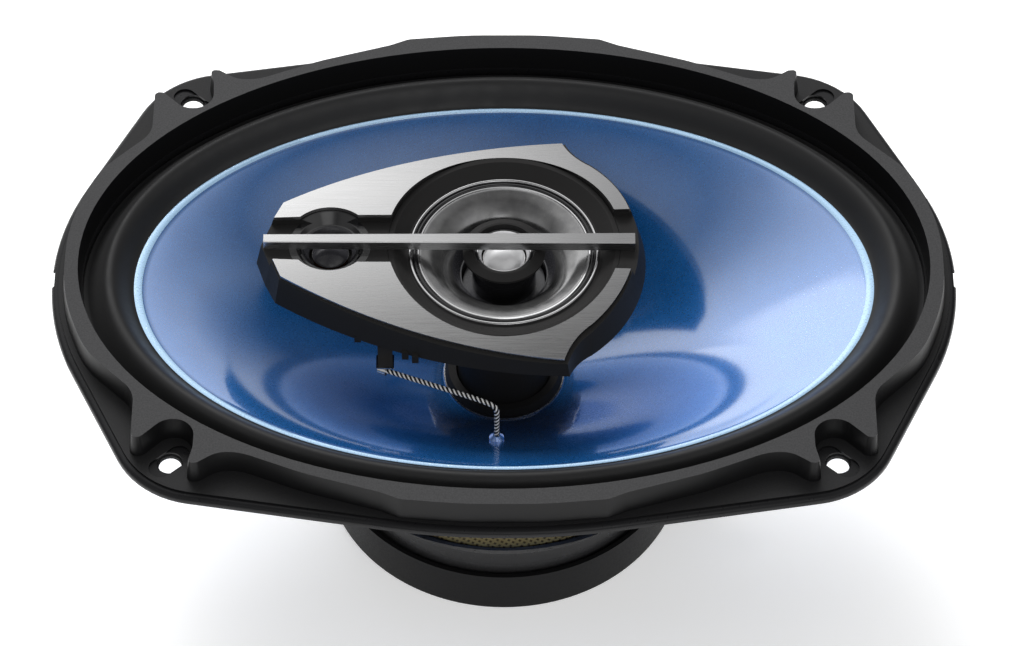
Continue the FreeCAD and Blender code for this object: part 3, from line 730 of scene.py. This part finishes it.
def make_tweeters():
    line = dome_line(5.3, 2.55, 10.05, 20) + [(5.42, 9.95), (5.5, 9.95)]
    made = lathe("tweeter_cap", shell_of(line, 0.2), MATERIALS["dome_metal"], around=96)
    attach(made, "tweeter")
    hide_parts("tweeter_dome")
    line = dome_line(4.6, 1.85, 11.55, 20) + [(4.68, 11.45), (4.75, 11.45)]
    made = lathe("small_tweeter_cap", shell_of(line, 0.2), MATERIALS["dark_film"], SMALL_X, 96)
    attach(made, "small_tweeter")
    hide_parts("small_tweeter_dome")


make_cone()
make_surround()
make_spider()
make_lead()
make_midrange()
make_tweeters()

OWN_FINISH = {
    "small_tweeter_dish": MATERIALS["dark_film"],
    "small_tweeter_bezel": GLOSS_BLACK,
    "tweeter_cup": GLOSS_BLACK,
    "midrange_former": MATERIALS["dark_film"],
    "midrange_yoke": MATERIALS["dark_film"],
    "lead_eyelet": MATERIALS["cone_film"],
}
slot_of = {row["node"]: row["material_slot"] for row in frame["record"]["subparts"]}
for node, obj in frame["nodes"].items():
    material = OWN_FINISH.get(node, MATERIALS[slot_of[node]])
    if not obj.material_slots:
        obj.data.materials.append(material)
    for place in obj.material_slots:
        place.material = material


# ------------------------------------------------------------ floor, light and camera
def make_floor():
    size = 3.0
    mesh = bpy.data.meshes.new("floor")
    mesh.from_pydata([(-size, -size, FLOOR), (size, -size, FLOOR), (size, size, FLOOR), (-size, size, FLOOR)],
                     [], [(0, 1, 2, 3)])
    floor = bpy.data.objects.new("floor", mesh)
    bpy.context.scene.collection.objects.link(floor)
    paint = Paint("pale_floor", (0.85, 0.85, 0.85), 0.9)
    paint.set("Emission Color", (1, 1, 1, 1)).set("Emission Strength", 0.42)
    mesh.materials.append(paint.mat)


def way(azimuth, height):
    """Unit vector towards a compass angle (from +X towards +Y) and an elevation, in degrees."""
    turn = math.radians(azimuth)
    lift = math.radians(height)
    return Vector((math.cos(lift) * math.cos(turn), math.cos(lift) * math.sin(turn), math.sin(lift)))


def soft_lamp(name, direction, distance, width, height, light_level):
    """A diffuse panel aimed at the speaker; light_level is the irradiance that it gives there."""
    data = bpy.data.lights.new(name, "AREA")
    data.shape = "RECTANGLE"
    data.size = width
    data.size_y = height
    data.energy = light_level * math.pi * distance * distance
    lamp = bpy.data.objects.new(name, data)
    lamp.location = direction * distance
    lamp.rotation_euler = (-direction).to_track_quat("-Z", "Y").to_euler()
    lamp.visible_glossy = False
    bpy.context.scene.collection.objects.link(lamp)


def glow(tree, coordinate, centre, stops):
    """Brightness that falls away with the angle from a centre; stops are (degrees, brightness)."""
    dot = tree.nodes.new("ShaderNodeVectorMath")
    dot.operation = "DOT_PRODUCT"
    tree.links.new(coordinate, dot.inputs[0])
    dot.inputs[1].default_value = centre
    ramp = tree.nodes.new("ShaderNodeValToRGB")
    elements = ramp.color_ramp.elements
    while len(elements) < len(stops):
        elements.new(0.5)
    for element, (angle, level) in zip(elements, sorted(stops, reverse=True)):
        element.position = math.cos(math.radians(angle))
        element.color = (level, level, level, 1)
    tree.links.new(dot.outputs["Value"], ramp.inputs["Fac"])
    return ramp.outputs["Color"]


def joined(tree, kind, first, second):
    """Two colours combined by a blend mode."""
    mix = tree.nodes.new("ShaderNodeMix")
    mix.data_type = "RGBA"
    mix.blend_type = kind
    mix.inputs["Factor"].default_value = 1.0
    colors = [socket for socket in mix.inputs if socket.type == "RGBA"]
    tree.links.new(first, colors[0])
    tree.links.new(second, colors[1])
    return [socket for socket in mix.outputs if socket.type == "RGBA"][0]


def make_lights():
    world = bpy.data.worlds.new("studio")
    world.use_nodes = True
    tree = world.node_tree
    coordinate = tree.nodes.new("ShaderNodeTexCoord").outputs["Generated"]
    panel = glow(tree, coordinate, way(108, 33),
                 [(0, 1.0), (14.5, 1.0), (17.5, 0.64), (25, 0.54), (32, 0.45), (42, 0.27), (52, 0.15),
                  (62, 0.05), (72, 0.02), (90, 0.015)])
    shade = glow(tree, coordinate, way(30, 0), [(0, 0.03), (36, 0.05), (46, 1.0), (90, 1.0)])
    backdrop = glow(tree, coordinate, way(110, 8), [(0, 1.0), (13, 1.0), (15, 0.16), (30, 0.04), (60, 0.0)])
    front = glow(tree, coordinate, way(-82, 36), [(0, 0.85), (10, 0.8), (17, 0.3), (26, 0.12), (45, 0.0)])
    right = glow(tree, coordinate, way(-38, 34), [(0, 0.45), (16, 0.42), (28, 0.2), (50, 0.05), (70, 0.0)])
    left = glow(tree, coordinate, way(-142, 30), [(0, 0.3), (16, 0.28), (28, 0.14), (50, 0.04), (70, 0.0)])
    ceiling = glow(tree, coordinate, way(90, 90), [(0, 0.3), (12, 0.45), (24, 1.0), (90, 1.0)])
    light = joined(tree, "MULTIPLY", panel, shade)
    light = joined(tree, "MULTIPLY", light, ceiling)
    light = joined(tree, "LIGHTEN", light, backdrop)
    for fill in (front, right, left):
        light = joined(tree, "LIGHTEN", light, fill)
    background = tree.nodes["Background"]
    tree.links.new(light, background.inputs["Color"])
    background.inputs["Strength"].default_value = 1.45
    bpy.context.scene.world = world
    soft_lamp("back_panel", way(103, 40), 1.7, 0.9, 0.5, 3.2)
    soft_lamp("top_panel", way(90, 88), 1.8, 1.6, 1.6, 0.6)
    soft_lamp("front_fill", way(-78, 34), 1.7, 1.0, 0.5, 0.55)


def make_camera():
    tilt = math.radians(50.15)
    distance = 1.10468
    data = bpy.data.cameras.new("camera")
    data.sensor_width = 36.0
    data.lens = 149.68
    data.shift_x = 0.00196
    data.shift_y = -0.0399
    data.clip_start = 0.05
    camera = bpy.data.objects.new("camera", data)
    camera.location = (0, -distance * math.cos(tilt), distance * math.sin(tilt) + CONE_EDGE)
    camera.rotation_euler = (math.pi / 2 - tilt, 0, 0)
    bpy.context.scene.collection.objects.link(camera)
    bpy.context.scene.camera = camera


make_floor()
make_lights()
make_camera()
bpy.context.scene.view_settings.view_transform = "Standard"
